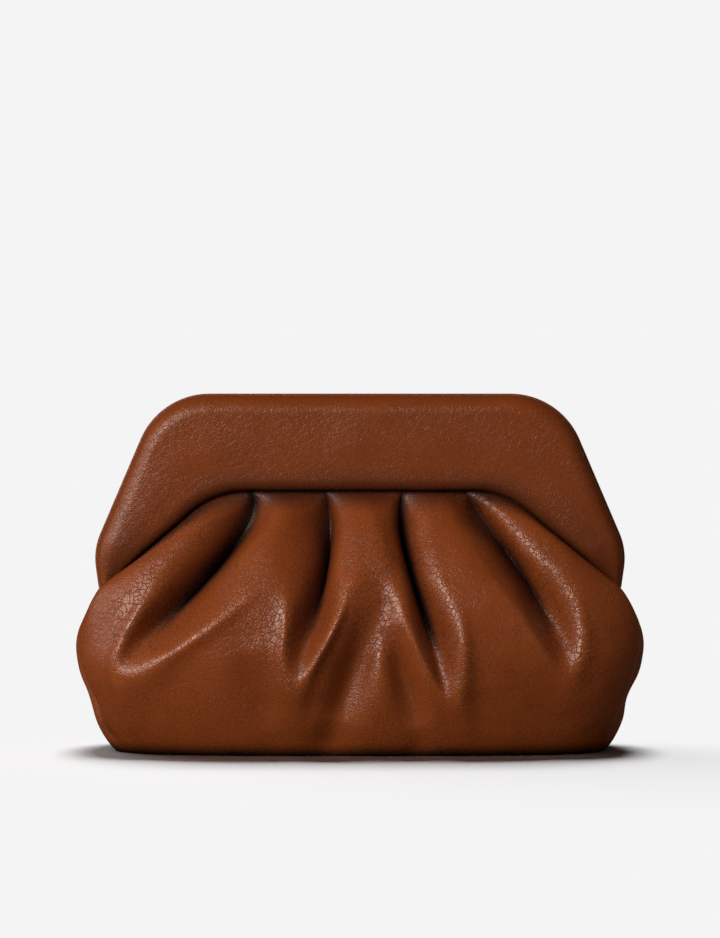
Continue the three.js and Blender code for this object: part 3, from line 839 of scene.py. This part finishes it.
def grain_group():
    """Leather grain: fine pebbles all over, and a net of fine creases that shows in patches and most
    where the leather is crushed. Puts out the height for a bump and the mask of the creases."""
    values = ("Pebble Scale", "Crackle Scale", "Crush", "Crackle")
    inputs = {"Vector": "Vector", **dict.fromkeys(values, "Float")}
    tree, given, result = new_group("Leather grain", inputs, {"Height": "Float", "Crease": "Float"})
    warp = noise(tree, given["Vector"], scale=260.0, detail=2.0)["Color"]
    lean = vector_maths(tree, "SUBTRACT", warp, (0.5, 0.5, 0.5))
    drift = vector_maths(tree, "MULTIPLY", lean, (GRAIN_DRIFT, GRAIN_DRIFT, GRAIN_DRIFT))
    place = vector_maths(tree, "ADD", given["Vector"], drift)
    line = remap(tree, cell_edges(tree, place, given["Crackle Scale"]), "crease")
    patch = noise(tree, given["Vector"], scale=55.0, detail=3.0)[0]
    shown = remap(tree, patch, "crease_patch")
    crushed = times(tree, given["Crush"], GRAIN_SHARES["crush"])
    presence = maths(tree, "ADD", shown, crushed, clamp=True)
    crease = times(tree, times(tree, line, presence), given["Crackle"])
    groove = remap(tree, cell_edges(tree, place, given["Pebble Scale"]), "pebble_groove")
    fine = times(tree, noise(tree, given["Vector"], scale=900.0, detail=2.0)[0], GRAIN_SHARES["fine"])
    grain = maths(tree, "SUBTRACT", fine, groove)
    height = maths(tree, "SUBTRACT", grain, times(tree, crease, GRAIN_SHARES["crease"]))
    feed(tree, result, {"Height": height, "Crease": crease})
    return tree


def tone_group():
    """Leather tone: clouds of darker and lighter dye, darker and duller fine creases, darker and duller
    painted shade, rubbed and smoother ridges. Puts out the colour and the roughness."""
    colours = ("Colour", "Shade", "Rubbed")
    values = ("Ridge", "Valley", "Crease", "Roughness")
    inputs = {"Vector": "Vector", **dict.fromkeys(colours, "Color"), **dict.fromkeys(values, "Float")}
    tree, given, result = new_group("Leather tone", inputs, {"Colour": "Color", "Roughness": "Float"})
    cloud = noise(tree, given["Vector"], scale=32.0, detail=5.0, roughness=0.6)[0]
    speck = noise(tree, given["Vector"], scale=950.0, detail=2.0)[0]
    fleck = remap(tree, speck, "fleck")
    dark = remap(tree, cloud, "dye")
    # The dye clouds, the fine creases and the painted shade darken towards the shade colour
    for label, share in DARK_SHARES.items():
        dark = maths(tree, "ADD", dark, times(tree, given[label], share), clamp=True)
    worn = maths(tree, "ADD", fleck, RUBBED_SHARES["ridge"])
    light = maths(tree, "MULTIPLY", given["Ridge"], worn, clamp=True)
    rubbed = maths(tree, "ADD", light, times(tree, fleck, RUBBED_SHARES["fleck"]))
    body = blend_colour(tree, rubbed, given["Colour"], given["Rubbed"])
    roughness = given["Roughness"]
    for label, share in ROUGH_SHARES.items():
        part = fleck if label == "fleck" else given[label]
        roughness = maths(tree, "ADD", roughness, times(tree, part, share))
    feed(tree, result, {"Colour": blend_colour(tree, dark, body, given["Shade"]), "Roughness": roughness})
    return tree


def shared(name, make):
    """A node group that is made once and found by its name afterwards."""
    found = bpy.data.node_groups.get(name)
    return found if found else make()


def new_material(name):
    """A material with nodes, its node tree and its shader."""
    material = bpy.data.materials.new(name)
    material.use_nodes = True
    return material, material.node_tree, material.node_tree.nodes["Principled BSDF"]


def leather(name, look):
    """A satin leather from the grain and tone groups, on the piece's own coordinates and attributes."""
    crackle, brightness, relief = LEATHERS[name]
    material, tree, shader = new_material(name)
    place = add_node(tree, "ShaderNodeTexCoord").outputs["Object"]
    # The valley attribute holds painted shade; ridge and crush are the leather's own
    ridge, valley, crush = (
        add_node(tree, "ShaderNodeAttribute", attribute_name=label).outputs["Fac"]
        for label in ("ridge", "valley", "crush")
    )
    cells = {"Pebble Scale": 1 / look.pebble, "Crackle Scale": 1 / look.crackle}
    inputs = {"Vector": place, **cells, "Crush": crush, "Crackle": crackle}
    skin = shared("Leather grain", grain_group)
    grain = add_node(tree, "ShaderNodeGroup", inputs, node_tree=skin).outputs
    colours = {"Colour": look.colour, "Shade": look.shade, "Rubbed": look.rubbed}
    inputs = {label: (*(brightness * part for part in colour), 1) for label, colour in colours.items()}
    inputs |= {"Vector": place, "Ridge": ridge, "Valley": valley, "Crease": grain["Crease"]}
    inputs["Roughness"] = look.roughness
    dye = shared("Leather tone", tone_group)
    tone = add_node(tree, "ShaderNodeGroup", inputs, node_tree=dye).outputs
    inputs = {"Height": grain["Height"], "Strength": relief, "Distance": GRAIN_DEPTH}
    bump = add_node(tree, "ShaderNodeBump", inputs).outputs[0]
    feed(tree, shader, {"Base Color": tone["Colour"], "Roughness": tone["Roughness"], "Normal": bump})
    feed(tree, shader, LEATHER_SHINE)
    return material


def brushed_steel():
    """Plain steel with fine brush marks along x and a dulled surface."""
    material, tree, shader = new_material("Steel")
    place = add_node(tree, "ShaderNodeTexCoord").outputs["Object"]
    stretched = add_node(tree, "ShaderNodeMapping", {"Vector": place, "Scale": STEEL["marks"]})
    marks = noise(tree, stretched.outputs[0], scale=1.0, detail=3.0)[0]
    tone = blend_colour(tree, marks, STEEL["dark"], STEEL["light"])
    worn = remap(tree, marks, "brush_mark")
    feed(tree, shader, {"Base Color": tone, "Roughness": worn, "Metallic": 1.0})
    return material


class CLUTCH_OT_pouch(bpy.types.Operator):
    """Build the soft pouch with its pleats"""

    bl_idname = "clutch.pouch"
    bl_label = "Pouch"

    def execute(self, context):
        scene = context.scene
        rings, first, last, looks = pouch_shell(scene.clutch_pouch, scene.clutch_frame)
        mesh = tube_mesh("pouch_leather_shell", rings, first, last)
        # The valley attribute holds painted shade; ridge and crush are the leather's own
        for name, values in looks.items():
            add_attribute(mesh, name, values)
        piece = add_piece(mesh, leather("Creased leather", scene.clutch_leather))
        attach(piece, "root")
        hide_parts("pouch")
        return {"FINISHED"}


class CLUTCH_OT_frame(bpy.types.Operator):
    """Build the two padded halves of the frame"""

    bl_idname = "clutch.frame"
    bl_label = "Padded frame"

    def execute(self, context):
        scene = context.scene
        material = leather("Stretched leather", scene.clutch_leather)
        for name, node, facing in (("front_pad", "front_frame", -1), ("back_pad", "back_frame", 1)):
            rings, first, last, shade = frame_half(scene.clutch_frame, facing)
            mesh = tube_mesh(name, rings, first, last)
            # The valley attribute holds the painted shade on the padding towards the pouch
            add_attribute(mesh, "valley", shade)
            mesh.set_sharp_from_angle(angle=math.radians(SHARP_ANGLE))
            piece = add_piece(mesh, material)
            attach(piece, "root")
            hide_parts(node)
        return {"FINISHED"}


class CLUTCH_OT_metal(bpy.types.Operator):
    """Finish the hidden hinge pins and clasp"""

    bl_idname = "clutch.metal"
    bl_label = "Hidden metal"

    def execute(self, context):
        steel = brushed_steel()
        for node in ("hinge_pin_left", "hinge_pin_right", "clasp"):
            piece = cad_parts[node]
            piece.data.materials.clear()
            piece.data.materials.append(steel)
        return {"FINISHED"}


def aimed(name, data, place, aim):
    """An object in the scene that looks from a place towards a point."""
    thing = bpy.data.objects.new(name, data)
    thing.location = place
    thing.rotation_euler = (Vector(aim) - Vector(place)).to_track_quat("-Z", "Y").to_euler()
    bpy.context.collection.objects.link(thing)
    return thing


def add_light(name, kind, place, aim, power, floor, reach, **settings):
    """A light from a place towards a point. Its reach includes the floor alone or excludes it."""
    lamp = bpy.data.lights.new(name, kind)
    lamp.energy = power
    for setting, value in settings.items():
        setattr(lamp, setting, value)
    light = aimed(name, lamp, place, aim)
    lit = bpy.data.collections.new(name + "_reach")
    lit.objects.link(floor)
    lit.collection_objects[0].light_linking.link_state = reach
    light.light_linking.receiver_collection = lit
    return light


def pale_paper(look):
    """Matt paper that the camera sees pale, and that throws less light back up at what stands on it."""
    material, tree, shader = new_material("Pale paper")
    seen = add_node(tree, "ShaderNodeLightPath").outputs["Is Camera Ray"]
    thrown = (look.bounce * part for part in look.floor)
    colour = blend_colour(tree, seen, (*thrown, 1), (*look.floor, 1))
    feed(tree, shader, {"Base Color": colour, "Roughness": 0.9, "Specular IOR Level": 0.0})
    return material


def studio_world(look):
    """Even light all round, with the floor's own paleness where the camera looks past the floor."""
    world = bpy.data.worlds.new("Studio")
    world.use_nodes = True
    tree = world.node_tree
    seen = add_node(tree, "ShaderNodeLightPath").outputs["Is Camera Ray"]
    sky = (look.sky, look.sky, look.sky, 1)
    feed(tree, tree.nodes["Background"], {"Color": blend_colour(tree, seen, sky, (PALE, PALE, PALE, 1))})
    return world


class CLUTCH_OT_stage(bpy.types.Operator):
    """Build the floor, the lights and the camera"""

    bl_idname = "clutch.stage"
    bl_label = "Studio"

    def execute(self, context):
        scene = context.scene
        look = scene.clutch_studio
        corners = FLOOR_REACH * np.array([(-1, -1, 0), (1, -1, 0), (1, 1, 0), (-1, 1, 0)])
        mesh = bpy.data.meshes.new("studio_floor")
        mesh.from_pydata(corners.tolist(), [], [(0, 1, 2, 3)])
        floor = add_piece(mesh, pale_paper(look))
        for name, (place, colour, width, height, shine) in BAG_LIGHTS.items():
            size = {"shape": "RECTANGLE", "size": width, "size_y": height}
            power = getattr(look, name)
            light = add_light(name, "AREA", place, LIGHT_AIM, power, floor, "EXCLUDE", color=colour, **size)
            light.visible_glossy = shine
        for name, (place, angle) in FLOOR_LIGHTS.items():
            add_light(name, "SUN", place, (0, 0, 0), getattr(look, name), floor, "INCLUDE", angle=angle)
        scene.world = studio_world(look)
        scene.view_settings.view_transform = "Standard"
        lens = bpy.data.cameras.new("camera")
        lens.lens = CAMERA["lens"]
        lens.sensor_width = CAMERA["sensor"]
        lens.clip_end = 2 * FLOOR_REACH
        scene.camera = aimed("camera", lens, CAMERA["place"], CAMERA["aim"])
        return {"FINISHED"}


class CLUTCH_PT_panel(bpy.types.Panel):
    """Sizes and colours of the clutch bag, and the steps that build it"""

    bl_idname = "CLUTCH_PT_panel"
    bl_label = "Clutch bag"
    bl_space_type = "VIEW_3D"
    bl_region_type = "UI"
    bl_category = "Clutch bag"

    def draw(self, context):
        for step in STEPS:
            self.layout.operator(step.bl_idname)
        for label in SETTINGS:
            group = getattr(context.scene, label)
            box = self.layout.box()
            for name in type(group).__annotations__:
                box.prop(group, name)


STEPS = (CLUTCH_OT_stage, CLUTCH_OT_pouch, CLUTCH_OT_frame, CLUTCH_OT_metal)
SETTINGS = {
    "clutch_frame": FrameSizes,
    "clutch_pouch": PouchSizes,
    "clutch_leather": LeatherLook,
    "clutch_studio": StudioLook,
}
CLASSES = (*SETTINGS.values(), *STEPS, CLUTCH_PT_panel)


def register():
    """Registers the classes and hangs the settings on the scene."""
    for each in CLASSES:
        bpy.utils.register_class(each)
    for label, group in SETTINGS.items():
        setattr(bpy.types.Scene, label, PointerProperty(type=group))


def unregister():
    """Takes the settings and the classes away again."""
    for label in SETTINGS:
        delattr(bpy.types.Scene, label)
    for each in reversed(CLASSES):
        bpy.utils.unregister_class(each)


def main():
    """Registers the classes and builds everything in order."""
    register()
    bpy.ops.clutch.stage()
    bpy.ops.clutch.pouch()
    bpy.ops.clutch.frame()
    bpy.ops.clutch.metal()


if __name__ == "__main__":
    main()
